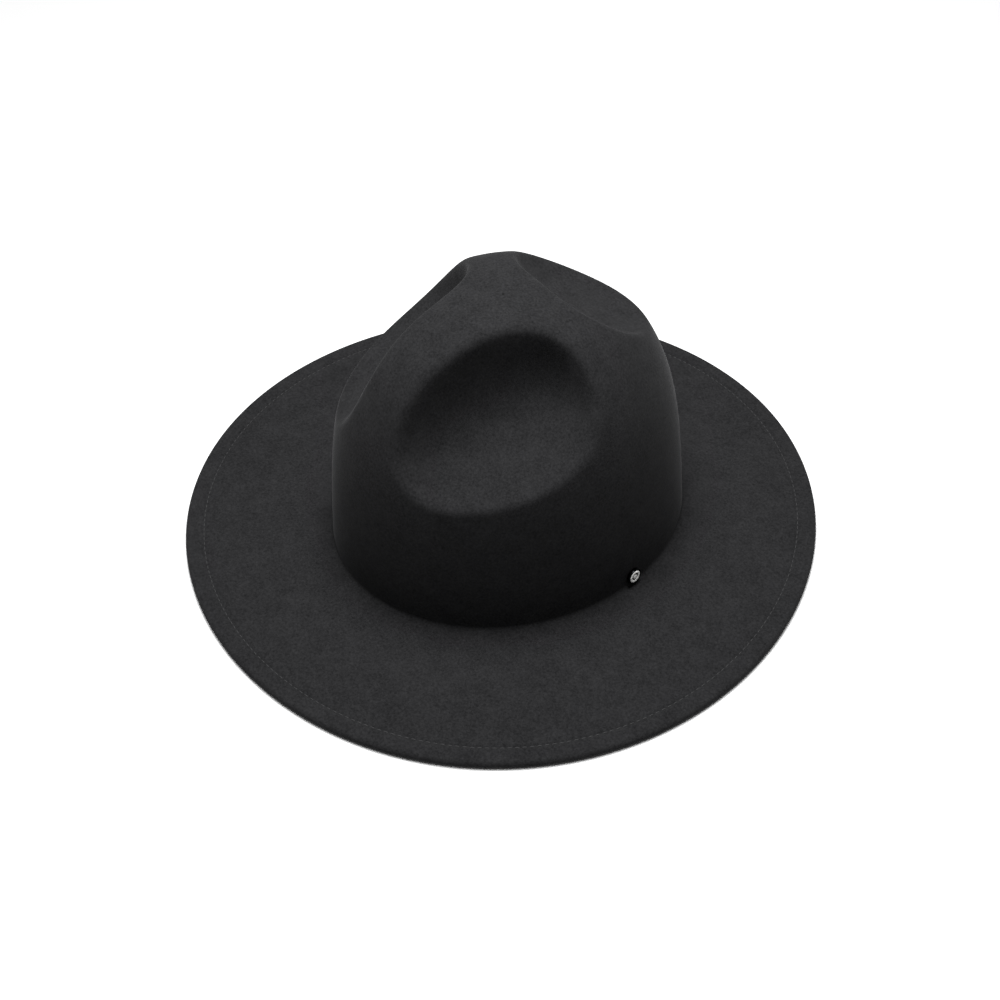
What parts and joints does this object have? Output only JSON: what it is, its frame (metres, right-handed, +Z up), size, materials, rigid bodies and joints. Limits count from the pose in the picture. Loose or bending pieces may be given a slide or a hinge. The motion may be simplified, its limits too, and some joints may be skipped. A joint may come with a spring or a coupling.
{
  "type": "fedora",
  "caption": "Wide-brimmed felt fedora with a centre peak, two front pinches and a back dent, a turned and stitched brim edge and a small plain pin.",
  "frame": {"origin": "on the surface that the hat stands on, under the middle of the brim", "axes": "+Z up through the crown, -Y towards the front of the hat, +X towards the wearer's left"},
  "size_m": [0.3424, 0.3448, 0.148],
  "materials": {
    "wool_felt": "matt pressed wool felt, charcoal black, faint fuzz",
    "black_metal": "polished black plated metal",
    "plated_steel": "plain nickel plated steel"
  },
  "bodies": {
    "root": {"felt_body": "wool_felt", "pin_head": "black_metal", "pin_clutch": "plated_steel"}
  },
  "joints": []
}
